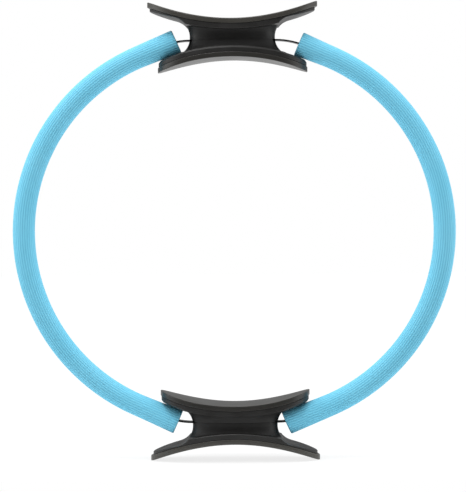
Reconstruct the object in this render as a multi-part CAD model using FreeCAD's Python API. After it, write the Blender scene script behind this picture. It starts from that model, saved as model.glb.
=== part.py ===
import FreeCAD, Part
import math
import os

from FreeCAD import Vector

# A pilates ring: two half rings of flat spring strip in foam sleeves, clamped
# between the moulded halves of two double-sided handles. It stands on its lower
# handle, with the ring in the XZ plane and X to the right seen from the front (-Y).
# All lengths are in millimetres.

# Line of the strip, from the arc on the side to the level stretch in a handle
ring_arc_radius = 162.5
lead_angle = math.radians(24.0)   # slope where the arc ends and the straight lead starts
band_lead_run = 23.2              # straight lead from the arc to the bend
band_lead_radius = 65.0           # bend from the lead to the level stretch
band_exit_run = 0.1               # level stretch outside the handle's waist

# Spring strip
band_thickness = 1.2
band_width = 10.0
band_end_gap = 3.0                # between the two strips' ends inside a handle
band_slot_clearance = 0.2         # around the strip in the handle
band_hole_clearance = 0.3         # around a screw

# Foam sleeve
sleeve_diameter = 19.0
sleeve_mouth_diameter = 21.4      # where the foam has spread at its two ends
sleeve_mouth_drop = 0.4           # mouth's middle off the line, towards the ring's middle
left_sleeve_upper_run = 39.1      # straight stiff ends past the arc
left_sleeve_lower_run = 38.2
right_sleeve_upper_run = 29.8     # this sleeve has slid down its strip
right_sleeve_lower_run = 43.3
sleeve_slot_height = 3.0
sleeve_side_clearance = 0.3       # at the strip's two edges

# Handle: waist between the two saddles
waist_length = 72.8
waist_depth = 26.0
waist_end_run = 30.0              # elliptical ends of the waist in plan
waist_end_flat = 0.4              # taken off the two ends of that oval
parting_bevel = 0.15              # along the line between the two halves
saddle_radius = 172.0             # hollow of every grip face
outer_face_rise = 17.1            # strip to the middle of the outer grip face
inner_face_rise = 15.4            # strip to the middle of the inner grip face
outer_waist_fillet = 15.5         # waist to the arms of the outer saddle
inner_waist_fillet = 15.5

# Handle: saddle plates, part of the moulded halves
outer_arm_thickness = 1.45        # where the arms leave the waist
outer_tip_thickness = 2.65        # the underside is flatter than the saddle
outer_root_thickness = 4.6        # rim over the waist
inner_arm_thickness = 4.6
inner_tip_thickness = 4.6
inner_root_thickness = 5.0
plate_face_bevel = 0.3            # rim of the plate next to the pad
outer_plate_edge_bevel = 0.4      # rim of the plate's other side
inner_plate_edge_bevel = 1.5
outer_plate_end_run = 46.0        # elliptical ends of the plate in plan
inner_plate_end_run = 39.0

# Handle: grip pads, oval in plan
pad_depth = 46.0
pad_thickness = 4.2
pad_glue_gap = 0.1
outer_pad_length = 145.4
inner_pad_length = 128.0
outer_pad_end_run = 48.0          # elliptical ends of the pad in plan
inner_pad_end_run = 40.0
outer_pad_overhang = 2.1          # pad past its plate at the two ends
inner_pad_overhang = 0.7
pad_side_overhang = 0.4           # pad past its plate at the front and back
outer_pad_face_bevel = 1.4        # rim of the grip face
outer_pad_heel_bevel = 0.3        # rim of the pad's back
inner_pad_face_bevel = 0.7
inner_pad_heel_bevel = 0.4

# Clamp screws and nuts
screw_radius = 1.5
screw_length = 20.0
screw_hole_clearance = 0.2
screw_inner_place = 10.0          # from the middle of the handle
screw_outer_place = 26.0
screw_head_radius = 2.8
screw_head_height = 2.0
screw_socket_flats = 2.0
screw_socket_depth = 1.1
screw_head_seat = 7.6             # from the strip to the head's seat in the inner half
head_pocket_clearance = 0.3
nut_flats = 5.5
nut_height = 2.4
nut_thread_clearance = 0.05
nut_pocket_clearance = 0.2

cut_overrun = 5.0
edge_tolerance = 0.001            # for finding the edges of a rim

# Worked out from the sizes above
waist_half_length = waist_length / 2
waist_half_depth = waist_depth / 2
pad_half_depth = pad_depth / 2
plate_half_depth = pad_half_depth - pad_side_overhang
band_level = (
    ring_arc_radius * math.cos(lead_angle)
    + band_lead_run * math.sin(lead_angle)
    + band_lead_radius * (1 - math.cos(lead_angle))
)
band_bend_start = waist_half_length + band_exit_run
ring_arc_offset = (
    band_bend_start
    + band_lead_radius * math.sin(lead_angle)
    + band_lead_run * math.cos(lead_angle)
    - ring_arc_radius * math.sin(lead_angle)
)
pad_back_radius = saddle_radius + pad_thickness
plate_face_radius = pad_back_radius + pad_glue_gap
nut_seat = screw_length - screw_head_seat - nut_height
screw_places = [-screw_outer_place, -screw_inner_place, screw_inner_place, screw_outer_place]

y_axis = Vector(0, 1, 0)
z_axis = Vector(0, 0, 1)
origin = Vector(0, 0, 0)

outer_half = {
    "face_rise": outer_face_rise,
    "pad_length": outer_pad_length,
    "pad_end_run": outer_pad_end_run,
    "pad_overhang": outer_pad_overhang,
    "pad_face_bevel": outer_pad_face_bevel,
    "pad_heel_bevel": outer_pad_heel_bevel,
    "arm_thickness": outer_arm_thickness,
    "tip_thickness": outer_tip_thickness,
    "root_thickness": outer_root_thickness,
    "plate_edge_bevel": outer_plate_edge_bevel,
    "plate_end_run": outer_plate_end_run,
    "waist_fillet": outer_waist_fillet,
}
inner_half = {
    "face_rise": inner_face_rise,
    "pad_length": inner_pad_length,
    "pad_end_run": inner_pad_end_run,
    "pad_overhang": inner_pad_overhang,
    "pad_face_bevel": inner_pad_face_bevel,
    "pad_heel_bevel": inner_pad_heel_bevel,
    "arm_thickness": inner_arm_thickness,
    "tip_thickness": inner_tip_thickness,
    "root_thickness": inner_root_thickness,
    "plate_edge_bevel": inner_plate_edge_bevel,
    "plate_end_run": inner_plate_end_run,
    "waist_fillet": inner_waist_fillet,
}


def line(start, end):
    return Part.LineSegment(start, end).toShape()


def arc_about(centre, start, end):
    # The shorter arc from start to end about a centre
    radius = (start - centre).Length
    middle = (start - centre) + (end - centre)
    middle.normalize()
    return Part.Arc(start, centre + middle * radius, end).toShape()


def mirrored(edges):
    return [edge.mirror(origin, Vector(1, 0, 0)) for edge in edges]


def face_from(edges):
    return Part.Face(Part.Wire(Part.sortEdges(edges)[0]))


def extruded(face, half_depth):
    # A face of the XZ plane, drawn out the same way to the front and the back
    back = face.translated(Vector(0, -half_depth, 0))
    return back.extrude(Vector(0, 2 * half_depth, 0))


def oval_prism(half_length, half_depth, end_run, bottom, height):
    # An upright block with a straight front and back, and half an ellipse at each end
    reach = half_length - end_run
    quarter = math.pi / 2
    edges = []
    for side in (1, -1):
        ellipse = Part.Ellipse(Vector(side * reach, 0, bottom), end_run, half_depth)
        start = -quarter if side > 0 else quarter
        edges.append(Part.ArcOfEllipse(ellipse, start, start + math.pi).toShape())
        edges.append(
            line(Vector(-reach, side * half_depth, bottom), Vector(reach, side * half_depth, bottom))
        )
    return face_from(edges).extrude(Vector(0, 0, height))


def on_oval(point, half_length, half_depth, end_run):
    past = max(0, abs(point.x) - (half_length - end_run))
    return abs(math.hypot(past / end_run, point.y / half_depth) - 1) < edge_tolerance


def edge_points(edge):
    middle = edge.valueAt((edge.FirstParameter + edge.LastParameter) / 2)
    return [vertex.Point for vertex in edge.Vertexes] + [middle]


def edges_where(body, test):
    return [edge for edge in body.Edges if all(test(point) for point in edge_points(edge))]


def leans(edge):
    # Not one of the upright seams of an oval wall
    middle = (edge.FirstParameter + edge.LastParameter) / 2
    return abs(edge.tangentAt(middle).z) < math.cos(lead_angle)


def strip_edges(offset):
    # One half ring's line on the right, set off outwards from the strip's middle
    bend = band_lead_radius + offset
    turn = ring_arc_radius + offset
    level = band_level + offset
    run = Vector(math.cos(lead_angle), 0, -math.sin(lead_angle)) * band_lead_run
    bend_centre = Vector(band_bend_start, 0, band_level - band_lead_radius)
    arc_centre = Vector(ring_arc_offset, 0, 0)
    across = Vector(math.sin(lead_angle), 0, math.cos(lead_angle))
    start = Vector(band_end_gap / 2, 0, level)
    bend_start = Vector(band_bend_start, 0, level)
    bend_end = bend_centre + across * bend
    side = arc_centre + Vector(turn, 0, 0)
    upper = [
        line(start, bend_start),
        arc_about(bend_centre, bend_start, bend_end),
        line(bend_end, bend_end + run),
        arc_about(arc_centre, bend_end + run, side),
    ]
    return upper + [edge.mirror(origin, z_axis) for edge in upper]


def strip_solid(thickness, width):
    # A flat strip along the half ring's line, about the ring's middle
    half = thickness / 2
    caps = [
        line(Vector(band_end_gap / 2, 0, end - half), Vector(band_end_gap / 2, 0, end + half))
        for end in (band_level, -band_level)
    ]
    return extruded(face_from(strip_edges(half) + strip_edges(-half) + caps), width / 2)


def spring_band():
    band = strip_solid(band_thickness, band_width)
    radius = screw_radius + band_hole_clearance
    for place in (screw_inner_place, screw_outer_place):
        base = Vector(place, 0, -band_level - cut_overrun)
        band = band.cut(Part.makeCylinder(radius, 2 * (band_level + cut_overrun), base))
    return band


def foam_sleeve(upper_run, lower_run):
    # Round tube on the arc with straight spreading ends, and a flat slot along the strip's line
    arc_centre = Vector(ring_arc_offset, 0, 0)
    across = Vector(math.sin(lead_angle), 0, math.cos(lead_angle))
    along = Vector(math.cos(lead_angle), 0, -math.sin(lead_angle))
    top = arc_centre + across * ring_arc_radius
    ring = Part.Wire(Part.makeCircle(sleeve_diameter / 2, top, along))
    tube = Part.Face(ring).revolve(arc_centre, y_axis, 180 - 2 * math.degrees(lead_angle))
    ends = []
    for run in (upper_run, lower_run):
        middle = top - along * run - across * sleeve_mouth_drop
        mouth = Part.Wire(Part.makeCircle(sleeve_mouth_diameter / 2, middle, along))
        ends.append(Part.makeLoft([ring, mouth], True, True))
    ends[1] = ends[1].mirror(origin, z_axis)
    tube = tube.fuse(ends)
    return tube.cut(strip_solid(sleeve_slot_height, band_width + 2 * sleeve_side_clearance))


def saddle_centre(half):
    return half["face_rise"] + saddle_radius


def on_circle(height, radius, angle):
    # A point at a radius and angle about an axis at a height over the middle
    return Vector(radius * math.sin(angle), 0, height - radius * math.cos(angle))


def on_saddle(half, radius, angle):
    return on_circle(saddle_centre(half), radius, angle)


def end_angle(radius, length):
    return math.asin(length / 2 / radius)


def saddle_arc(half, radius, angle):
    return arc_about(
        Vector(0, 0, saddle_centre(half)), on_saddle(half, radius, -angle), on_saddle(half, radius, angle)
    )


def cut_angle(half):
    # Where the curved bars end, outside the ovals that trim them
    return end_angle(saddle_radius, half["pad_length"] + 2 * cut_overrun)


def saddle_distance(half, point):
    return math.hypot(point.x, point.z - saddle_centre(half))


def rim_at(half, body, radius, on_plan):
    # The loop of edges where a curved face of the saddle meets the wall of a plan
    return edges_where(
        body,
        lambda point: abs(saddle_distance(half, point) - radius) < edge_tolerance and on_plan(point),
    )


def grip_pad(half):
    # A curved bar trimmed to the oval, with the rims of its face and back bevelled
    angle = cut_angle(half)
    outline = [
        saddle_arc(half, saddle_radius, angle),
        saddle_arc(half, pad_back_radius, angle),
        line(on_saddle(half, saddle_radius, angle), on_saddle(half, pad_back_radius, angle)),
        line(on_saddle(half, saddle_radius, -angle), on_saddle(half, pad_back_radius, -angle)),
    ]
    oval = (half["pad_length"] / 2, pad_half_depth, half["pad_end_run"])
    pad = extruded(face_from(outline), pad_depth).common(oval_prism(*oval, 0, saddle_centre(half)))

    def on_plan(point):
        return on_oval(point, *oval)

    pad = pad.makeChamfer(half["pad_face_bevel"], rim_at(half, pad, saddle_radius, on_plan))
    return pad.makeChamfer(half["pad_heel_bevel"], rim_at(half, pad, pad_back_radius, on_plan))


def arm_circle(half):
    # Height of the axis and radius of the arms' underside, through its two thicknesses
    root_angle = math.asin((waist_half_length + half["waist_fillet"]) / plate_face_radius)
    root = on_saddle(half, plate_face_radius + half["arm_thickness"], root_angle)
    tip_angle = end_angle(plate_face_radius, half["pad_length"])
    tip = on_saddle(half, plate_face_radius + half["tip_thickness"], tip_angle)
    height = (tip.dot(tip) - root.dot(root)) / 2 / (tip.z - root.z)
    return height, math.hypot(root.x, height - root.z)


def waist_fillet_centre(half):
    # Centre of the round between the waist's end and the underside of the right arm
    height, arm_radius = arm_circle(half)
    fillet = half["waist_fillet"]
    x = waist_half_length + fillet
    return Vector(x, 0, height - math.sqrt((arm_radius + fillet) ** 2 - x ** 2))


def half_outline(half):
    # Front view of a handle half: saddle plate, waist and the rounds between them
    height, arm_radius = arm_circle(half)
    angle = cut_angle(half)
    centre = waist_fillet_centre(half)
    arm_root_angle = math.asin(centre.x / (arm_radius + half["waist_fillet"]))
    arm_root = on_circle(height, arm_radius, arm_root_angle)
    arm_end = on_circle(height, arm_radius, angle)
    waist_top = Vector(waist_half_length, 0, centre.z)
    waist_foot = Vector(waist_half_length, 0, centre.z - half["face_rise"])
    right = [
        line(on_saddle(half, plate_face_radius, angle), arm_end),
        arc_about(Vector(0, 0, height), arm_end, arm_root),
        arc_about(centre, arm_root, waist_top),
        line(waist_top, waist_foot),
    ]
    joining = [
        saddle_arc(half, plate_face_radius, angle),
        line(waist_foot, Vector(-waist_half_length, 0, waist_foot.z)),
    ]
    return right + mirrored(right) + joining


def waist_spool(half):
    # The waist as a long spool: an oval column that flares out with the end fillet's radius
    centre = waist_fillet_centre(half)
    fillet = half["waist_fillet"]
    foot = centre.z - half["face_rise"]
    top = centre.z + fillet
    oval = (waist_half_length + waist_end_flat, waist_half_depth, waist_end_run)
    column = oval_prism(*oval, foot, top - foot)
    length = 2 * (waist_half_length + fillet + cut_overrun)
    depth = 2 * (waist_half_depth + fillet + cut_overrun)
    cap = Part.makeBox(length, depth, cut_overrun, Vector(-length / 2, -depth / 2, top))
    spool = column.fuse(cap)
    root = edges_where(
        spool, lambda point: abs(point.z - top) < edge_tolerance and on_oval(point, *oval)
    )
    return spool.makeFillet(fillet, root)


def handle_half(half):
    # A moulded half before its pockets, standing on the parting plane through the strip
    raw = extruded(face_from(half_outline(half)), pad_half_depth)
    root_radius = plate_face_radius + half["root_thickness"]
    low_radius = saddle_centre(half) + half["face_rise"]
    angle = cut_angle(half)
    under_rim = [
        saddle_arc(half, root_radius, angle),
        saddle_arc(half, low_radius, angle),
        line(on_saddle(half, root_radius, angle), on_saddle(half, low_radius, angle)),
        line(on_saddle(half, root_radius, -angle), on_saddle(half, low_radius, -angle)),
    ]
    hollow = extruded(face_from(under_rim), pad_depth).cut(waist_spool(half))
    oval = (half["pad_length"] / 2 - half["pad_overhang"], plate_half_depth, half["plate_end_run"])

    def on_plan(point):
        return on_oval(point, *oval)

    body = raw.cut(hollow).common(oval_prism(*oval, 0, saddle_centre(half)))
    body = body.makeChamfer(parting_bevel, edges_where(body, lambda point: abs(point.z) < edge_tolerance))
    wall = [edge for edge in edges_where(body, on_plan) if leans(edge)]
    face_rim = rim_at(half, body, plate_face_radius, on_plan)
    lower_rim = [edge for edge in wall if not any(edge.isSame(other) for other in face_rim)]
    body = body.makeChamfer(half["plate_edge_bevel"], lower_rim)
    return body.makeChamfer(plate_face_bevel, rim_at(half, body, plate_face_radius, on_plan))


def clamp_cuts(half):
    # Strip groove and shank holes that both halves share
    width = band_width + 2 * band_slot_clearance
    depth = band_thickness / 2 + band_slot_clearance
    length = waist_length + 2 * half["waist_fillet"]
    cuts = [Part.makeBox(length, width, 2 * depth, Vector(-length / 2, -width / 2, -depth))]
    for place in screw_places:
        base = Vector(place, 0, -cut_overrun)
        cuts.append(Part.makeCylinder(screw_radius + screw_hole_clearance, screw_length, base))
    return cuts


def hex_prism(flats, height, base):
    corner = flats / 2 / math.cos(math.radians(30))
    points = []
    for step in range(7):
        turn = math.radians(60 * step)
        points.append(base + Vector(math.cos(turn), math.sin(turn), 0) * corner)
    return Part.Face(Part.makePolygon(points)).extrude(Vector(0, 0, height))


def outer_shell():
    body = handle_half(outer_half)
    cuts = clamp_cuts(outer_half)
    for place in screw_places:
        base = Vector(place, 0, nut_seat)
        cuts.append(hex_prism(nut_flats + 2 * nut_pocket_clearance, outer_face_rise, base))
    return body.cut(cuts)


def inner_shell():
    body = handle_half(inner_half)
    cuts = clamp_cuts(inner_half)
    radius = screw_head_radius + head_pocket_clearance
    for place in screw_places:
        cuts.append(Part.makeCylinder(radius, inner_face_rise, Vector(place, 0, screw_head_seat)))
    return body.cut(cuts)


def clamp_screws():
    # Heads seated in the inner half, shanks through the strip into the nuts
    screws = []
    for place in screw_places:
        seat = Vector(place, 0, -screw_head_seat)
        crown = Vector(place, 0, -screw_head_seat - screw_head_height)
        shank = Part.makeCylinder(screw_radius, screw_length, seat)
        head = Part.makeCylinder(screw_head_radius, screw_head_height, crown)
        socket = hex_prism(screw_socket_flats, screw_socket_depth, crown)
        screws.append(shank.fuse(head).removeSplitter().cut(socket))
    return Part.makeCompound(screws)


def clamp_nuts():
    nuts = []
    for place in screw_places:
        seat = Vector(place, 0, nut_seat)
        bore = Part.makeCylinder(screw_radius + nut_thread_clearance, nut_height, seat)
        nuts.append(hex_prism(nut_flats, nut_height, seat).cut(bore))
    return Part.makeCompound(nuts)


def turned_over(shape):
    return shape.rotated(origin, y_axis, 180)


handle_pieces = {
    "outer_shell": outer_shell(),
    "inner_shell": turned_over(inner_shell()),
    "outer_pad": grip_pad(outer_half),
    "inner_pad": turned_over(grip_pad(inner_half)),
    "screws": clamp_screws(),
    "nuts": clamp_nuts(),
}
# The ring's middle stands above the floor by the reach of the lower handle's pad
ring_height = band_level + handle_pieces["outer_pad"].optimalBoundingBox(False, False).ZMax


def write(shape, name):
    placed = shape.translated(Vector(0, 0, ring_height))
    placed.exportStep("parts/" + name + ".step")


os.makedirs("parts", exist_ok=True)

right_band = spring_band()
write(right_band, "right_spring_band")
write(right_band.mirror(origin, Vector(1, 0, 0)), "left_spring_band")
right_sleeve = foam_sleeve(right_sleeve_upper_run, right_sleeve_lower_run)
write(right_sleeve, "right_foam_sleeve")
left_sleeve = foam_sleeve(left_sleeve_upper_run, left_sleeve_lower_run)
write(left_sleeve.mirror(origin, Vector(1, 0, 0)), "left_foam_sleeve")

for piece_name, piece in handle_pieces.items():
    upper = piece.translated(Vector(0, 0, band_level))
    write(upper, "top_" + piece_name)
    write(turned_over(upper), "bottom_" + piece_name)
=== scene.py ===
import math

import bmesh
import bpy
import numpy as np
from mathutils import Euler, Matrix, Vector


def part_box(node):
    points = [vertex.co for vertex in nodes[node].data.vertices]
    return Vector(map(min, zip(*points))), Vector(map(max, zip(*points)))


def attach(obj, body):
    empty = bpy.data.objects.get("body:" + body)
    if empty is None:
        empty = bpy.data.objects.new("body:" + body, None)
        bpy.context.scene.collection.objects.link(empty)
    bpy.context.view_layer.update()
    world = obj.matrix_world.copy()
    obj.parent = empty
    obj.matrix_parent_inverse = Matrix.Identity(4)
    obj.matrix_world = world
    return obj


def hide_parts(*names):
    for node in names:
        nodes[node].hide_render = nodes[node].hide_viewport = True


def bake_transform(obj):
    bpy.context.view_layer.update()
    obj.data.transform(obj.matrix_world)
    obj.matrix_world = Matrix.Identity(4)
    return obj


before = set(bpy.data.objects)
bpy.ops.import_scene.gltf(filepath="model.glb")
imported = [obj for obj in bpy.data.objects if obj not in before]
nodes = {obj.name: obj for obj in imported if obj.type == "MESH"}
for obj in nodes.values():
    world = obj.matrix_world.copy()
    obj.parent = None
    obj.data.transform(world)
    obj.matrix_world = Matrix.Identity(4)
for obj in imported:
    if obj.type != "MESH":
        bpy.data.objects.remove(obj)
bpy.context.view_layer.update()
mm = 0.001                      # the frame is in metres, the pieces' sizes below are in millimetres


def linear(hexColour):          # sRGB hex to the linear colour that shaders take
    parts = [int(hexColour[i:i + 2], 16) / 255 for i in (1, 3, 5)]
    return [c / 12.92 if c <= 0.04045 else ((c + 0.055) / 1.055) ** 2.4 for c in parts] + [1.0]


def addNode(tree, kind, inputs=None, **settings):
    node = tree.nodes.new(kind)
    for name, value in settings.items():
        setattr(node, name, value)
    for key, value in (inputs or {}).items():
        if isinstance(value, bpy.types.NodeSocket):
            tree.links.new(value, node.inputs[key])
        else:
            node.inputs[key].default_value = value
    return node


def newMaterial(name):
    material = bpy.data.materials.new(name)
    material.use_nodes = True
    material.node_tree.nodes.clear()
    return material, material.node_tree


def finishMaterial(tree, shader):
    addNode(tree, "ShaderNodeOutputMaterial", {"Surface": shader.outputs[0]})


def meshPiece(name, points, faces):     # points in millimetres, in the row frame
    mesh = bpy.data.meshes.new(name)
    mesh.from_pydata([tuple(p) for p in np.asarray(points) * mm], [], faces)
    mesh.update()
    piece = bpy.data.objects.new(name, mesh)
    bpy.context.scene.collection.objects.link(piece)
    return piece


def tidyMesh(mesh, mergeDistance):      # close seams and poles, faces outwards, smooth shading
    work = bmesh.new()
    work.from_mesh(mesh)
    bmesh.ops.remove_doubles(work, verts=work.verts, dist=mergeDistance)
    bmesh.ops.recalc_face_normals(work, faces=work.faces)
    for face in work.faces:
        face.smooth = True
    work.to_mesh(mesh)
    work.free()
    mesh.update()


def newTree(name, sockets):             # a Geometry Nodes tree with named inputs
    tree = bpy.data.node_groups.new(name, "GeometryNodeTree")
    tree.is_modifier = True
    tree.interface.new_socket(name="Geometry", in_out="INPUT", socket_type="NodeSocketGeometry")
    for label, kind in sockets:
        tree.interface.new_socket(name=label, in_out="INPUT", socket_type=kind)
    tree.interface.new_socket(name="Geometry", in_out="OUTPUT", socket_type="NodeSocketGeometry")
    return tree, addNode(tree, "NodeGroupInput").outputs


def runTree(piece, tree, values):       # the tree's result, as a plain mesh in the same place
    modifier = piece.modifiers.new("build", "NODES")
    modifier.node_group = tree
    for item in tree.interface.items_tree:
        if item.item_type == "SOCKET" and item.in_out == "INPUT" and item.name in values:
            modifier[item.identifier] = values[item.name]
    graph = bpy.context.evaluated_depsgraph_get()
    mesh = bpy.data.meshes.new_from_object(piece.evaluated_get(graph))
    name = piece.name
    bpy.data.objects.remove(piece)
    mesh.name = name
    made = bpy.data.objects.new(name, mesh)
    bpy.context.scene.collection.objects.link(made)
    return made


# Materials

def foamSkin():
    # NBR foam, extruded closed-cell tube: a dull soft skin with fine lengthwise ribs,
    # pale on the crests, painted a deeper blue in the grooves as painted shade, a little bloom at grazing
    # angles
    size = {
        "patch": 34.0,
        "cell": 0.55,           # real cells are finer, drawn coarser so that they show
        "relief": 0.04,
    }
    material, tree = newMaterial("extrudedBlueFoam")
    place = addNode(tree, "ShaderNodeTexCoord").outputs["Object"]
    groove = addNode(tree, "ShaderNodeAttribute", attribute_name="groove").outputs["Fac"]
    patch = addNode(tree, "ShaderNodeTexNoise", {
        "Vector": place, "Scale": 1 / (size["patch"] * mm), "Detail": 3.0})
    cells = addNode(tree, "ShaderNodeTexNoise", {
        "Vector": place, "Scale": 1 / (size["cell"] * mm), "Detail": 2.0})
    crest = addNode(tree, "ShaderNodeMix", {
        "Factor": patch.outputs["Fac"], 6: linear("#74CAE6"), 7: linear("#84D2EB")}, data_type="RGBA")
    # the groove mask pulls the colour towards #57AFD3: painted shade in the rib grooves
    depth = addNode(tree, "ShaderNodeMapRange", {
        "Value": groove, "From Min": 0.1, "From Max": 0.9, "To Max": 0.75})
    colour = addNode(tree, "ShaderNodeMix", {
        "Factor": depth.outputs[0], 6: crest.outputs[2], 7: linear("#57AFD3")}, data_type="RGBA")
    dull = addNode(tree, "ShaderNodeMapRange", {
        "Value": cells.outputs["Fac"], "To Min": 0.7, "To Max": 0.8})
    bump = addNode(tree, "ShaderNodeBump", {
        "Height": cells.outputs["Fac"], "Strength": 0.08, "Distance": size["relief"] * mm})
    shader = addNode(tree, "ShaderNodeBsdfPrincipled", {
        "Base Color": colour.outputs[2], "Roughness": dull.outputs[0], "IOR": 1.45,
        "Specular IOR Level": 0.22, "Sheen Weight": 0.1, "Sheen Roughness": 0.45,
        "Sheen Tint": linear("#D6F1FB"), "Normal": bump.outputs[0]})
    finishMaterial(tree, shader)
    return material


def foamCut():
    # The same foam where it was sawn to length: open cells, no skin, so paler and fully matt
    size = {
        "cell": 0.7,            # coarser than real, as on the skin
        "patch": 6.0,
        "relief": 0.2,
    }
    material, tree = newMaterial("cutBlueFoam")
    place = addNode(tree, "ShaderNodeTexCoord").outputs["Object"]
    cells = addNode(tree, "ShaderNodeTexVoronoi", {
        "Vector": place, "Scale": 1 / (size["cell"] * mm)}, feature="F1")
    patch = addNode(tree, "ShaderNodeTexNoise", {
        "Vector": place, "Scale": 1 / (size["patch"] * mm), "Detail": 2.0})
    # the cells' hollows are coloured a darker blue: painted shade in the open pores
    poreShade = addNode(tree, "ShaderNodeMapRange", {
        "Value": cells.outputs["Distance"], "From Max": 0.6, "To Min": 1.0, "To Max": 0.0})
    pale = addNode(tree, "ShaderNodeMix", {
        "Factor": patch.outputs["Fac"], 6: linear("#77C6E0"), 7: linear("#88D2EA")}, data_type="RGBA")
    colour = addNode(tree, "ShaderNodeMix", {
        "Factor": poreShade.outputs[0], 6: pale.outputs[2], 7: linear("#4FA9CC")}, data_type="RGBA")
    bump = addNode(tree, "ShaderNodeBump", {
        "Height": cells.outputs["Distance"], "Strength": 0.5, "Distance": size["relief"] * mm})
    shader = addNode(tree, "ShaderNodeBsdfPrincipled", {
        "Base Color": colour.outputs[2], "Roughness": 0.92, "Specular IOR Level": 0.2,
        "Sheen Weight": 0.15, "Normal": bump.outputs[0]})
    finishMaterial(tree, shader)
    return material


def mouldedAbs():
    # Black ABS, injection moulded in a spark-eroded tool: satin, with a fine even grain,
    # faint cloudy flow marks in the gloss, and a colour that is never quite black
    size = {
        "grain": 0.45,          # spark-eroded grain is finer, drawn coarser so that it shows
        "flow": 18.0,
        "relief": 0.05,
    }
    material, tree = newMaterial("mouldedBlackAbs")
    place = addNode(tree, "ShaderNodeTexCoord").outputs["Object"]
    grain = addNode(tree, "ShaderNodeTexNoise", {
        "Vector": place, "Scale": 1 / (size["grain"] * mm), "Detail": 2.0, "Roughness": 0.6})
    flow = addNode(tree, "ShaderNodeTexNoise", {
        "Vector": place, "Scale": 1 / (size["flow"] * mm), "Detail": 3.0, "Distortion": 0.6})
    colour = addNode(tree, "ShaderNodeMix", {
        "Factor": flow.outputs["Fac"], 6: linear("#1D1D1C"), 7: linear("#282726")}, data_type="RGBA")
    gloss = addNode(tree, "ShaderNodeMapRange", {
        "Value": flow.outputs["Fac"], "From Min": 0.3, "From Max": 0.7,
        "To Min": 0.37, "To Max": 0.55})
    bump = addNode(tree, "ShaderNodeBump", {
        "Height": grain.outputs["Fac"], "Strength": 0.12, "Distance": size["relief"] * mm})
    shader = addNode(tree, "ShaderNodeBsdfPrincipled", {
        "Base Color": colour.outputs[2], "Roughness": gloss.outputs[0], "IOR": 1.53,
        "Specular IOR Level": 0.4, "Normal": bump.outputs[0]})
    finishMaterial(tree, shader)
    return material


def gripRubber(name, dark, pale, worn):
    # Dark grey moulded rubber: a satin skin with a fine pebble grain, rubbed a little paler on its edges
    size = {
        "pebble": 0.8,          # coarser than the real grain, so that it shows
        "patch": 22.0,
        "relief": 0.08,
    }
    material, tree = newMaterial(name)
    place = addNode(tree, "ShaderNodeTexCoord").outputs["Object"]
    pebble = addNode(tree, "ShaderNodeTexVoronoi", {
        "Vector": place, "Scale": 1 / (size["pebble"] * mm)}, feature="SMOOTH_F1")
    patch = addNode(tree, "ShaderNodeTexNoise", {
        "Vector": place, "Scale": 1 / (size["patch"] * mm), "Detail": 4.0})
    edge = addNode(tree, "ShaderNodeAttribute", attribute_name="edge").outputs["Fac"]
    wear = addNode(tree, "ShaderNodeMath", {0: edge, 1: patch.outputs["Fac"]}, operation="MULTIPLY")
    plain = addNode(tree, "ShaderNodeMix", {
        "Factor": patch.outputs["Fac"], 6: linear(dark), 7: linear(pale)}, data_type="RGBA")
    colour = addNode(tree, "ShaderNodeMix", {
        "Factor": wear.outputs[0], 6: plain.outputs[2], 7: linear(worn)}, data_type="RGBA")
    dull = addNode(tree, "ShaderNodeMapRange", {
        "Value": patch.outputs["Fac"], "From Min": 0.3, "From Max": 0.7,
        "To Min": 0.3, "To Max": 0.38})
    bump = addNode(tree, "ShaderNodeBump", {
        "Height": pebble.outputs["Distance"], "Strength": 0.2, "Distance": size["relief"] * mm})
    shader = addNode(tree, "ShaderNodeBsdfPrincipled", {
        "Base Color": colour.outputs[2], "Roughness": dull.outputs[0], "IOR": 1.5,
        "Specular IOR Level": 0.45, "Normal": bump.outputs[0]})
    finishMaterial(tree, shader)
    return material


def blackSpringSteel():
    # Hardened strip steel, stove-enamelled black: thin smooth paint with a slight orange peel
    size = {
        "peel": 1.6,
        "relief": 0.05,
    }
    material, tree = newMaterial("enamelledSpringSteel")
    place = addNode(tree, "ShaderNodeTexCoord").outputs["Object"]
    peel = addNode(tree, "ShaderNodeTexNoise", {
        "Vector": place, "Scale": 1 / (size["peel"] * mm), "Detail": 1.0})
    colour = addNode(tree, "ShaderNodeMix", {
        "Factor": peel.outputs["Fac"], 6: linear("#060606"), 7: linear("#0C0C0C")}, data_type="RGBA")
    bump = addNode(tree, "ShaderNodeBump", {
        "Height": peel.outputs["Fac"], "Strength": 0.1, "Distance": size["relief"] * mm})
    shader = addNode(tree, "ShaderNodeBsdfPrincipled", {
        "Base Color": colour.outputs[2], "Roughness": 0.35, "Specular IOR Level": 0.25,
        "Normal": bump.outputs[0]})
    finishMaterial(tree, shader)
    return material


def zincSteel():
    # Zinc-plated steel fasteners: pale grey metal with the plating's fine cloudy bloom
    size = {"bloom": 0.9}
    material, tree = newMaterial("zincPlatedSteel")
    place = addNode(tree, "ShaderNodeTexCoord").outputs["Object"]
    bloom = addNode(tree, "ShaderNodeTexNoise", {
        "Vector": place, "Scale": 1 / (size["bloom"] * mm), "Detail": 3.0})
    colour = addNode(tree, "ShaderNodeMix", {
        "Factor": bloom.outputs["Fac"], 6: linear("#A9ACAF"), 7: linear("#C6C8C9")}, data_type="RGBA")
    dull = addNode(tree, "ShaderNodeMapRange", {
        "Value": bloom.outputs["Fac"], "To Min": 0.28, "To Max": 0.5})
    shader = addNode(tree, "ShaderNodeBsdfPrincipled", {
        "Base Color": colour.outputs[2], "Metallic": 1.0, "Roughness": dull.outputs[0]})
    finishMaterial(tree, shader)
    return material


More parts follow.
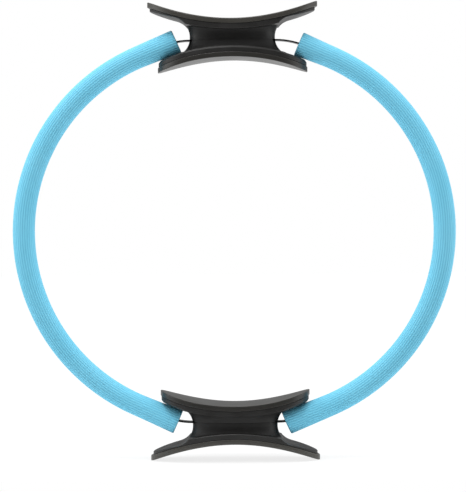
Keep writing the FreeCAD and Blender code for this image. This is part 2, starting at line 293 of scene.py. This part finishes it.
skinMaterial, cutMaterial = foamSkin(), foamCut()
absMaterial = mouldedAbs()
rubberMaterials = {             # the outer pads are painted paler and the inner ones darker: painted light and shade on copies of one rubber
    "outer": gripRubber("handledGripRubber", "#383733", "#42403C", "#504E49"),
    "inner": gripRubber("mouldedGripRubber", "#292826", "#32312E", "#403E3B"),
}
stripMaterial, zincMaterial = blackSpringSteel(), zincSteel()
print("materials: foam skin, cut foam, ABS, rubber, strip steel, zinc")

# Line of the strips, which the sleeves follow: level in the handles, a bend, a straight lead
# and the long arc on the side
ringLine = {
    "arcRadius": 162.5,
    "leadAngle": math.radians(24.0),
    "leadRun": 23.2,
    "bendRadius": 65.0,
    "stripThickness": 1.2,
    "stripStart": 1.5,          # strip's end from the middle of the handle
    "blendMargin": 2.4,         # the bending part starts this far past the strip's level ends
}
bandLow, bandHigh = (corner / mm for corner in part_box("right_spring_band"))
ringZ = (bandLow.z + bandHigh.z) / 2
stripLevel = (bandHigh.z - bandLow.z - ringLine["stripThickness"]) / 2
arcX = bandHigh.x - ringLine["stripThickness"] / 2 - ringLine["arcRadius"]


def walk(start, heading, legs, step):
    # Stations along runs and arcs turning clockwise: x, z, heading and distance
    x, z = start
    distance = 0.0
    stations = [(x, z, heading, distance)]
    for length, turn in legs:
        count = math.ceil(length / step)
        half = turn / count / 2
        chord = length / count * (math.sin(half) / half if half else 1.0)
        for i in range(count):
            x += chord * math.cos(heading - half)
            z += chord * math.sin(heading - half)
            heading -= 2 * half
            distance += length / count
            stations.append((x, z, heading, distance))
    return stations


def sideArc():                  # the long arc on the side: its length and turn
    turn = math.pi - 2 * ringLine["leadAngle"]
    return ringLine["arcRadius"] * turn, turn


def mirrorX(points):            # the left half ring
    return np.asarray(points) * (-1, 1, 1)


# Foam sleeves: a ribbed tube with cut ends and a flat slot along the strip
foamSleeve = {
    "diameter": 19.0,
    "mouthDiameter": 21.4,      # spread at the two ends
    "upperDrop": {"left": 1.6, "right": 0.6},       # how far the mouths sink towards the ring's middle
    "lowerDrop": {"left": 0.5, "right": 1.8},
    "spread": 1.4,              # exponent of the spreading along an end
    "upperRun": {"left": 39.1, "right": 29.8},      # straight ends past the arc
    "lowerRun": {"left": 38.2, "right": 43.3},
    "slotHeight": 3.0,
    "slotWidth": 10.6,
    "slotSquareness": 8.0,      # exponent of the slot's rounded outline
    "rimRound": 1.1,            # cut edge outside
    "mouthRound": 0.5,          # cut edge at the slot
    "roundSteps": (0, 22.5, 45, 67.5, 90),          # degrees round a cut edge
    "faceShares": (0.3, 0.6, 0.85),                 # rows of points from the rim to the slot
    "ribs": 30,                 # coarse enough to show
    "pointsPerRib": 8,
    "ribDepth": 0.26,
    "waviness": 0.1,
    "waveLength": 45.0,
    "step": 5.0,
    "merge": 0.0001,            # points nearer than this become one
}


def ribTree():
    tree, given = newTree("foamRibs", [
        ("Ribs", "NodeSocketInt"), ("Rib Depth", "NodeSocketFloat"),
        ("Waviness", "NodeSocketFloat"), ("Wave Length", "NodeSocketFloat"),
        ("Skin", "NodeSocketMaterial"), ("Cut Face", "NodeSocketMaterial")])
    around = addNode(tree, "GeometryNodeInputNamedAttribute", {"Name": "around"}, data_type="FLOAT")
    skin = addNode(tree, "GeometryNodeInputNamedAttribute", {"Name": "skin"}, data_type="FLOAT")
    cut = addNode(tree, "GeometryNodeInputNamedAttribute", {"Name": "cutFace"}, data_type="BOOLEAN")
    turns = addNode(tree, "ShaderNodeMath", {0: around.outputs[0], 1: given["Ribs"]}, operation="MULTIPLY")
    phase = addNode(tree, "ShaderNodeMath", {0: turns.outputs[0], 1: math.pi}, operation="MULTIPLY")
    wave = addNode(tree, "ShaderNodeMath", {0: phase.outputs[0]}, operation="COSINE")
    crest = addNode(tree, "ShaderNodeMath", {0: wave.outputs[0]}, operation="ABSOLUTE")
    groove = addNode(tree, "ShaderNodeMath", {0: 1.0, 1: crest.outputs[0]}, operation="SUBTRACT")
    cutIn = addNode(tree, "ShaderNodeMath", {0: groove.outputs[0], 1: skin.outputs[0]}, operation="MULTIPLY")
    sink = addNode(tree, "ShaderNodeMath", {0: cutIn.outputs[0], 1: given["Rib Depth"]}, operation="MULTIPLY")
    place = addNode(tree, "GeometryNodeInputPosition")
    scaled = addNode(tree, "ShaderNodeVectorMath", {0: place.outputs[0], 1: given["Wave Length"]},
                     operation="DIVIDE")
    noise = addNode(tree, "ShaderNodeTexNoise", {"Vector": scaled.outputs[0], "Scale": 1.0, "Detail": 1.0})
    sway = addNode(tree, "ShaderNodeMath", {0: noise.outputs["Fac"], 1: 0.5}, operation="SUBTRACT")
    swell = addNode(tree, "ShaderNodeMath", {0: sway.outputs[0], 1: given["Waviness"]}, operation="MULTIPLY")
    soft = addNode(tree, "ShaderNodeMath", {0: swell.outputs[0], 1: skin.outputs[0]}, operation="MULTIPLY")
    shift = addNode(tree, "ShaderNodeMath", {0: soft.outputs[0], 1: sink.outputs[0]}, operation="SUBTRACT")
    out = addNode(tree, "GeometryNodeInputNormal")
    offset = addNode(tree, "ShaderNodeVectorMath", {0: out.outputs[0], "Scale": shift.outputs[0]},
                     operation="SCALE")
    moved = addNode(tree, "GeometryNodeSetPosition", {
        "Geometry": given["Geometry"], "Offset": offset.outputs[0]})
    # the groove depth is kept as an attribute, for the foam colour that paints shade into the grooves
    marked = addNode(tree, "GeometryNodeStoreNamedAttribute", {
        "Geometry": moved.outputs[0], "Name": "groove", "Value": cutIn.outputs[0]},
        data_type="FLOAT", domain="POINT")
    real = addNode(tree, "GeometryNodeRealizeInstances", {"Geometry": marked.outputs[0]})
    skinned = addNode(tree, "GeometryNodeSetMaterial", {
        "Geometry": real.outputs[0], "Material": given["Skin"]})
    faced = addNode(tree, "GeometryNodeSetMaterial", {
        "Geometry": skinned.outputs[0], "Selection": cut.outputs[0], "Material": given["Cut Face"]})
    addNode(tree, "NodeGroupOutput", {"Geometry": faced.outputs[0]})
    return tree


def sleeveBlank(side):
    # Rings of points: outer wall down, lower cut end, slot wall up, upper cut end
    size = foamSleeve
    count = size["ribs"] * size["pointsPerRib"]
    angles = np.arange(count) * 2 * math.pi / count
    circle = np.c_[np.cos(angles), np.sin(angles)]
    power = size["slotSquareness"]
    reach = (np.abs(circle[:, 0] / (size["slotHeight"] / 2)) ** power
             + np.abs(circle[:, 1] / (size["slotWidth"] / 2)) ** power) ** (-1 / power)
    lead = ringLine["leadAngle"]
    upperRun, lowerRun = size["upperRun"][side], size["lowerRun"][side]
    arcLength, arcTurn = sideArc()
    arcTop = (arcX + ringLine["arcRadius"] * math.sin(lead), ringLine["arcRadius"] * math.cos(lead))
    start = (arcTop[0] - upperRun * math.cos(lead), arcTop[1] + upperRun * math.sin(lead))
    line = walk(start, -lead, [(upperRun, 0.0), (arcLength, arcTurn), (lowerRun, 0.0)], size["step"])

    def ring(station, section, along=0.0):      # section points are outwards and to the back
        x, z, heading = station[:3]
        px = x + math.cos(heading) * along - math.sin(heading) * section[:, 0]
        pz = z + math.sin(heading) * along + math.cos(heading) * section[:, 0]
        return np.c_[px, section[:, 1], ringZ + pz]

    def slot(station, grow=0.0):                # the slot follows the strip's bend near the ends
        past = max(upperRun - station[3], station[3] - upperRun - arcLength, 0.0) - ringLine["leadRun"]
        past = max(past, 0.0)
        inwards = ringLine["bendRadius"] - math.sqrt(ringLine["bendRadius"] ** 2 - past ** 2)
        return circle * (reach + grow)[:, None] - (inwards, 0.0)

    def wall(station, inset=0.0):               # the skin, spreading towards the ends
        upper, lower = 1 - station[3] / upperRun, (station[3] - upperRun - arcLength) / lowerRun
        drop = size["upperDrop" if upper > lower else "lowerDrop"][side]
        share = min(max(upper, lower, 0.0), 1.0) ** size["spread"]
        radius = (size["diameter"] + (size["mouthDiameter"] - size["diameter"]) * share) / 2
        return circle * (radius - inset) - (drop * share, 0.0)

    rings, skins, cuts = [], [], []

    def put(points, skin, cut):
        rings.append(points)
        skins.append(skin)
        cuts.append(cut)

    rim, mouth = size["rimRound"], size["mouthRound"]
    quarter = [math.radians(a) for a in size["roundSteps"]]

    def cutEnd(station, way):                   # from the outer wall to the slot
        for a in quarter:
            put(ring(station, wall(station, rim - rim * math.cos(a)), way * rim * (math.sin(a) - 1)),
                math.cos(a / 2), a == quarter[-1])
        edge = wall(station, rim)
        lip = slot(station, mouth)
        for share in size["faceShares"]:
            put(ring(station, edge + (lip - edge) * share), 0.0, True)
        for a in reversed(quarter):
            put(ring(station, slot(station, mouth - mouth * math.cos(a)), way * mouth * (math.sin(a) - 1)),
                0.0, True)

    inside = line[1:-1]
    for station in inside:
        put(ring(station, wall(station)), 1.0, False)
    cutEnd(line[-1], 1)
    for station in reversed(inside):
        put(ring(station, slot(station)), 0.0, True)
    upper = len(rings)
    cutEnd(line[0], -1)
    for kept in (rings, skins, cuts):           # the upper end was laid from outside to inside
        kept[upper:] = kept[upper:][::-1]
    total = len(rings)
    faces, cutFaces = [], []
    for i in range(total):
        for j in range(count):
            k, m = (i + 1) % total, (j + 1) % count
            faces.append((i * count + j, i * count + m, k * count + m, k * count + j))
            cutFaces.append(cuts[i] and cuts[k])
    marks = {                                   # attributes that the tree reads
        "around": ("FLOAT", "POINT", np.tile(np.arange(count) / count, total)),
        "skin": ("FLOAT", "POINT", np.repeat(skins, count)),
        "cutFace": ("BOOLEAN", "FACE", cutFaces),
    }
    return np.concatenate(rings), faces, marks


def makeSleeve(side, tree):
    points, faces, marks = sleeveBlank(side)
    if side == "left":
        points = mirrorX(points)
    piece = meshPiece(side + "FoamSleeve", points, faces)
    for label, (kind, domain, values) in marks.items():
        piece.data.attributes.new(label, kind, domain).data.foreach_set("value", values)
    tidyMesh(piece.data, foamSleeve["merge"] * mm)
    sleeve = runTree(piece, tree, {
        "Ribs": foamSleeve["ribs"], "Rib Depth": foamSleeve["ribDepth"] * mm,
        "Waviness": foamSleeve["waviness"] * mm, "Wave Length": foamSleeve["waveLength"] * mm,
        "Skin": skinMaterial, "Cut Face": cutMaterial})
    for label in marks:
        sleeve.data.attributes.remove(sleeve.data.attributes[label])
    return sleeve


sleeveTree = ribTree()
for side in ("left", "right"):
    sleeve = makeSleeve(side, sleeveTree)
    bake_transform(sleeve)
    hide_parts(side + "_foam_sleeve")
    print("sleeve:", sleeve.name, len(sleeve.data.polygons), "faces")

# Spring strips: flat steel with rolled edges, swept along the ring line, with the clamp screws' holes
springStrip = {
    "width": 10.0,
    "edgeRound": 0.45,
    "edgePoints": 4,
    "step": 4.0,
    "holeRadius": 1.8,
    "holeSides": 32,
    "holePlace": 10.0,          # first hole from the middle of the handle
    "holePitch": 16.0,
}


def stripTree():
    tree, given = newTree("springStrip", [
        ("Width", "NodeSocketFloat"), ("Thickness", "NodeSocketFloat"),
        ("Edge Round", "NodeSocketFloat"), ("Edge Points", "NodeSocketInt"),
        ("Hole Radius", "NodeSocketFloat"), ("Hole Sides", "NodeSocketInt"),
        ("Hole Places", "NodeSocketObject"), ("Steel", "NodeSocketMaterial")])
    section = addNode(tree, "GeometryNodeCurvePrimitiveQuadrilateral", {
        "Width": given["Width"], "Height": given["Thickness"]})
    rolled = addNode(tree, "GeometryNodeFilletCurve", {
        "Curve": section.outputs[0], "Radius": given["Edge Round"],
        "Count": given["Edge Points"]}, mode="POLY")
    swept = addNode(tree, "GeometryNodeCurveToMesh", {
        "Curve": given["Geometry"], "Profile Curve": rolled.outputs[0], "Fill Caps": True})
    places = addNode(tree, "GeometryNodeObjectInfo", {"Object": given["Hole Places"]})
    drill = addNode(tree, "GeometryNodeMeshCylinder", {
        "Vertices": given["Hole Sides"], "Radius": given["Hole Radius"], "Depth": given["Width"]})
    drills = addNode(tree, "GeometryNodeInstanceOnPoints", {
        "Points": places.outputs["Geometry"], "Instance": drill.outputs["Mesh"]})
    bits = addNode(tree, "GeometryNodeRealizeInstances", {"Geometry": drills.outputs[0]})
    holed = addNode(tree, "GeometryNodeMeshBoolean", {
        "Mesh 1": swept.outputs[0], "Mesh 2": bits.outputs[0]}, operation="DIFFERENCE")
    smooth = addNode(tree, "GeometryNodeSetShadeSmooth", {"Geometry": holed.outputs[0], "Shade Smooth": True})
    real = addNode(tree, "GeometryNodeRealizeInstances", {"Geometry": smooth.outputs[0]})
    steel = addNode(tree, "GeometryNodeSetMaterial", {
        "Geometry": real.outputs[0], "Material": given["Steel"]})
    addNode(tree, "NodeGroupOutput", {"Geometry": steel.outputs[0]})
    return tree


def makeStrip(side, tree):
    sign = 1 if side == "right" else -1
    lead = ringLine["leadAngle"]
    bendLength = ringLine["bendRadius"] * lead
    bendX = (arcX + ringLine["arcRadius"] * math.sin(lead) - ringLine["leadRun"] * math.cos(lead)
             - ringLine["bendRadius"] * math.sin(lead))
    level = (bendX - ringLine["stripStart"], 0.0)
    bend, run = (bendLength, lead), (ringLine["leadRun"], 0.0)
    line = walk((ringLine["stripStart"], stripLevel), 0.0,
                [level, bend, run, sideArc(), run, bend, level], springStrip["step"])
    curve = bpy.data.curves.new(side + "SpringStrip", "CURVE")
    curve.dimensions = "3D"
    spline = curve.splines.new("POLY")
    spline.points.add(len(line) - 1)
    for point, station in zip(spline.points, line):
        x, z = station[:2]
        point.co = (sign * x * mm, 0.0, (ringZ + z) * mm, 1.0)
    path = bpy.data.objects.new(side + "SpringStrip", curve)
    bpy.context.scene.collection.objects.link(path)
    holes = [(sign * (springStrip["holePlace"] + i * springStrip["holePitch"]), 0.0, ringZ + z)
             for i in (0, 1) for z in (-stripLevel, stripLevel)]
    marks = meshPiece(side + "HolePlaces", holes, [])
    strip = runTree(path, tree, {
        "Width": springStrip["width"] * mm, "Thickness": ringLine["stripThickness"] * mm,
        "Edge Round": springStrip["edgeRound"] * mm, "Edge Points": springStrip["edgePoints"],
        "Hole Radius": springStrip["holeRadius"] * mm, "Hole Sides": springStrip["holeSides"],
        "Hole Places": marks, "Steel": stripMaterial})
    bpy.data.objects.remove(marks)
    return strip


bandTree = stripTree()
for side in ("left", "right"):
    strip = makeStrip(side, bandTree)
    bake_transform(strip)
    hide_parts(side + "_spring_band")
    print("strip:", strip.name, len(strip.data.polygons), "faces")

# Grip pads: soft rubber slabs bent to the saddles, oval in plan, with a slight crown
gripPad = {
    "depth": 46.0,
    "thickness": 4.2,
    "saddleRadius": 172.0,
    "crown": 0.3,
    "crownGrowth": 4,           # exponent, so that the crown is on the face and not on the back
    "endSteps": 56,
    "sideSteps": 14,
    "roundSteps": (0, 18, 36, 54, 72, 90),          # degrees round an edge
    "closingShares": (0.04, 0.12, 0.3, 0.5, 0.75, 1.0),     # rows from the edge to the middle line
    "spineShare": 0.75,         # length of that line
    "merge": 0.001,             # points nearer than this become one
    "outer": {"length": 145.4, "endRun": 48.0, "faceRound": 0.9, "heelRound": 0.3},
    "inner": {"length": 128.0, "endRun": 40.0, "faceRound": 0.5, "heelRound": 0.4},
}


def padOutline(half):
    # Oval in plan, points and outward directions: half an ellipse, a straight side, and the same again
    endRun, halfDepth = half["endRun"], gripPad["depth"] / 2
    reach = half["length"] / 2 - endRun
    turns = np.linspace(-math.pi / 2, math.pi / 2, gripPad["endSteps"] + 1)
    end = np.c_[reach + endRun * np.cos(turns), halfDepth * np.sin(turns)]
    endWays = np.c_[np.cos(turns) / endRun, np.sin(turns) / halfDepth]
    endWays /= np.linalg.norm(endWays, axis=1)[:, None]
    sides = np.linspace(reach, -reach, gripPad["sideSteps"] + 1)[1:-1]
    side = np.c_[sides, np.full(len(sides), halfDepth)]
    sideWays = np.tile((0.0, 1.0), (len(sides), 1))
    points, ways = np.concatenate((end, side)), np.concatenate((endWays, sideWays))
    return np.concatenate((points, -points)), np.concatenate((ways, -ways))


def makePad(name, node, half, opens):
    size = gripPad
    backRadius = size["saddleRadius"] + size["thickness"]
    low, high = (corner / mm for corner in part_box(node))
    backZ = low.z if opens > 0 else high.z
    heel, face = half["heelRound"], half["faceRound"]
    outline, ways = padOutline(half)
    reach = half["length"] / 2 - half["endRun"]
    quarter = [math.radians(a) for a in size["roundSteps"]]
    rings = []                                   # plan points, height above the back, edge wear
    for a in quarter:
        rings.append((outline - ways * heel * (1 - math.sin(a)),
                      heel * (1 - math.cos(a)), math.sin(2 * a)))
    for a in reversed(quarter):
        rings.append((outline - ways * face * (1 - math.sin(a)),
                      size["thickness"] - face * (1 - math.cos(a)), math.sin(2 * a)))

    def closing(ring):                           # rings that close on the slab's middle line
        plan, height = ring[:2]
        spine = plan * (size["spineShare"], 0.0)
        return [(plan + (spine - plan) * share, height, 0.0) for share in size["closingShares"]]

    rings = closing(rings[0])[::-1] + rings + closing(rings[-1])
    points, wears, count = [], [], len(outline)
    for plan, height, wear in rings:
        past = np.maximum(np.abs(plan[:, 0]) - reach, 0) / half["endRun"]
        middle = np.clip(1 - past ** 2 - (plan[:, 1] / size["depth"] * 2) ** 2, 0, 1)
        swell = size["crown"] * middle * (height / size["thickness"]) ** size["crownGrowth"]
        radius = backRadius - height - swell
        rise = backRadius - np.sqrt(radius ** 2 - plan[:, 0] ** 2)
        points.append(np.c_[plan, backZ + opens * rise])
        wears.append(np.full(count, wear))
    faces = []
    for i in range(len(rings) - 1):
        for j in range(count):
            k, m = i + 1, (j + 1) % count
            faces.append((i * count + j, i * count + m, k * count + m, k * count + j))
    pad = meshPiece(name, np.concatenate(points), faces)
    pad.data.attributes.new("edge", "FLOAT", "POINT").data.foreach_set("value", np.concatenate(wears))
    tidyMesh(pad.data, size["merge"] * mm)
    return pad


padPlaces = {                   # body, then whether the hollow opens upwards
    "top_outer": ("top_handle", 1),
    "top_inner": ("top_handle", -1),
    "bottom_inner": ("ring", 1),
    "bottom_outer": ("ring", -1),
}
for place, (body, opens) in padPlaces.items():
    where, half = place.split("_")
    node = place + "_pad"
    pad = makePad(where + half.capitalize() + "Pad", node, gripPad[half], opens)
    pad.data.materials.append(rubberMaterials[half])
    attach(pad, body)
    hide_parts(node)
    print("pad:", pad.name, len(pad.data.polygons), "faces")

# Handle halves, screws and nuts keep their CAD shapes
for where in ("top", "bottom"):
    for part, material in (("outer_shell", absMaterial), ("inner_shell", absMaterial),
                           ("screws", zincMaterial), ("nuts", zincMaterial)):
        for holder in nodes[where + "_" + part].material_slots:
            holder.material = material
print("handles: CAD shells, screws and nuts dressed")

# Studio, in metres: pale floor, white surroundings that are dimmer on the front, three soft boxes
studio = {
    "floorSize": 8.0,
    "floorFront": 0.12,         # the white floor ends here, and the room in front of it is dim
    "floorColour": "#F4F4F4",
    "floorLift": 0.8,           # share of plain white where the floor is looked at
    "ambient": 1.66,
    "dimmest": 0.06,            # surroundings straight in front of the ring
    "dimFrom": -0.8,            # Y of the direction, dimmest up to here and full from dimTo
    "dimTo": 0.3,
    "overFront": 0.8,           # how much brighter the front is above and below than at the sides
    "rear": 0.45,               # light from behind the ring
    "ceiling": 0.42,            # surroundings behind the ring, where they are mirrored
    "rearFrom": 0.2,            # Y of the direction, where the rear starts, and is full at rearTo
    "rearTo": 0.8,
}
softBoxes = {
    "keyBox": {"place": (-0.2, -0.3, 1.2), "size": 0.35, "power": 4.4},
    "leftBox": {"place": (-1.25, -0.35, 0.45), "size": 0.8, "power": 3.0},
    "rightBox": {"place": (1.25, -0.35, 0.2), "size": 0.8, "power": 2.2},
}


def makeFloor():
    half, front = studio["floorSize"] / 2 / mm, studio["floorFront"] / mm
    floor = meshPiece("floor", [(-half, -front, 0), (half, -front, 0), (half, half, 0), (-half, half, 0)],
                      [(0, 1, 2, 3)])
    material, tree = newMaterial("paleFloor")
    path = addNode(tree, "ShaderNodeLightPath").outputs
    lit = addNode(tree, "ShaderNodeBsdfPrincipled", {
        "Base Color": linear(studio["floorColour"]), "Roughness": 0.9, "Specular IOR Level": 0.1})
    white = addNode(tree, "ShaderNodeEmission", {"Color": linear("#FFFFFF"), "Strength": 1.0})
    seen = addNode(tree, "ShaderNodeMath", {
        0: path["Is Camera Ray"], 1: path["Is Glossy Ray"]}, operation="MAXIMUM")
    shown = addNode(tree, "ShaderNodeMath", {
        0: seen.outputs[0], 1: path["Is Transmission Ray"]}, operation="MAXIMUM")
    lift = addNode(tree, "ShaderNodeMath", {
        0: shown.outputs[0], 1: studio["floorLift"]}, operation="MULTIPLY")
    mixed = addNode(tree, "ShaderNodeMixShader", {
        0: lift.outputs[0], 1: lit.outputs[0], 2: white.outputs[0]})
    finishMaterial(tree, mixed)
    floor.data.materials.append(material)


def makeWorld():
    world = bpy.data.worlds.new("studioWorld")
    bpy.context.scene.world = world
    world.use_nodes = True
    tree = world.node_tree
    tree.nodes.clear()
    path = addNode(tree, "ShaderNodeLightPath").outputs
    way = addNode(tree, "ShaderNodeTexCoord").outputs["Generated"]
    parts = addNode(tree, "ShaderNodeSeparateXYZ", {0: way})
    upright = addNode(tree, "ShaderNodeMath", {0: parts.outputs["Z"]}, operation="ABSOLUTE")
    facing = addNode(tree, "ShaderNodeMath", {
        0: upright.outputs[0], 1: studio["overFront"], 2: parts.outputs["Y"]}, operation="MULTIPLY_ADD")
    tent = addNode(tree, "ShaderNodeMapRange", {
        "Value": facing.outputs[0], "From Min": studio["dimFrom"], "From Max": studio["dimTo"],
        "To Min": studio["dimmest"], "To Max": 1.0}, interpolation_type="SMOOTHSTEP")
    mirrored = addNode(tree, "ShaderNodeMath", {
        0: path["Is Glossy Ray"], 1: path["Is Transmission Ray"]}, operation="MAXIMUM")
    behind = addNode(tree, "ShaderNodeMapRange", {
        "Value": parts.outputs["Y"], "From Min": studio["rearFrom"], "From Max": studio["rearTo"],
        "To Min": 1.0, "To Max": studio["ceiling"]}, interpolation_type="SMOOTHSTEP")
    around = addNode(tree, "ShaderNodeMapRange", {
        "Value": parts.outputs["Y"], "From Min": studio["rearFrom"], "From Max": studio["rearTo"],
        "To Min": studio["ambient"], "To Max": studio["rear"]}, interpolation_type="SMOOTHSTEP")
    level = addNode(tree, "ShaderNodeMapRange", {
        "Value": mirrored.outputs[0], "To Min": around.outputs[0], "To Max": behind.outputs[0]})
    given = addNode(tree, "ShaderNodeMath", {
        0: tent.outputs[0], 1: level.outputs[0]}, operation="MULTIPLY")
    strength = addNode(tree, "ShaderNodeMapRange", {
        "Value": path["Is Camera Ray"], "To Min": given.outputs[0], "To Max": 1.0})
    back = addNode(tree, "ShaderNodeBackground", {
        "Color": linear("#FFFFFF"), "Strength": strength.outputs[0]})
    addNode(tree, "ShaderNodeOutputWorld", {"Surface": back.outputs[0]})


def makeLights():
    aim = Vector((0, 0, ringZ * mm))
    for name, box in softBoxes.items():
        lamp = bpy.data.lights.new(name, "AREA")
        lamp.size = box["size"]
        lamp.energy = box["power"]
        holder = bpy.data.objects.new(name, lamp)
        holder.location = box["place"]
        holder.rotation_euler = (aim - holder.location).to_track_quat("-Z", "Y").to_euler()
        bpy.context.scene.collection.objects.link(holder)


# Camera fitted to the photograph: a little above the ring's middle, a long lens
camera = {
    "place": (29.5, -1564.4, 24.5),     # from the ring's middle
    "pan": -1.110,
    "tilt": 1.353,
    "roll": 0.443,
    "lens": 133.47,
    "sensor": 36.0,
}


def makeCamera():
    data = bpy.data.cameras.new("photoCamera")
    data.sensor_width = camera["sensor"]
    data.lens = camera["lens"]
    data.dof.use_dof = False
    holder = bpy.data.objects.new("photoCamera", data)
    holder.location = (Vector(camera["place"]) + Vector((0, 0, ringZ))) * mm
    pan, tilt, roll = (math.radians(camera[turn]) for turn in ("pan", "tilt", "roll"))
    aim = Euler((math.pi / 2 - tilt, 0, -pan)).to_quaternion()
    holder.rotation_mode = "QUATERNION"
    holder.rotation_quaternion = aim @ Euler((0, 0, -roll)).to_quaternion()
    bpy.context.scene.collection.objects.link(holder)
    bpy.context.scene.camera = holder


makeFloor()
makeWorld()
makeLights()
makeCamera()
bpy.context.scene.view_settings.view_transform = "Standard"
print("studio: floor, world,", len(softBoxes), "soft boxes and camera")
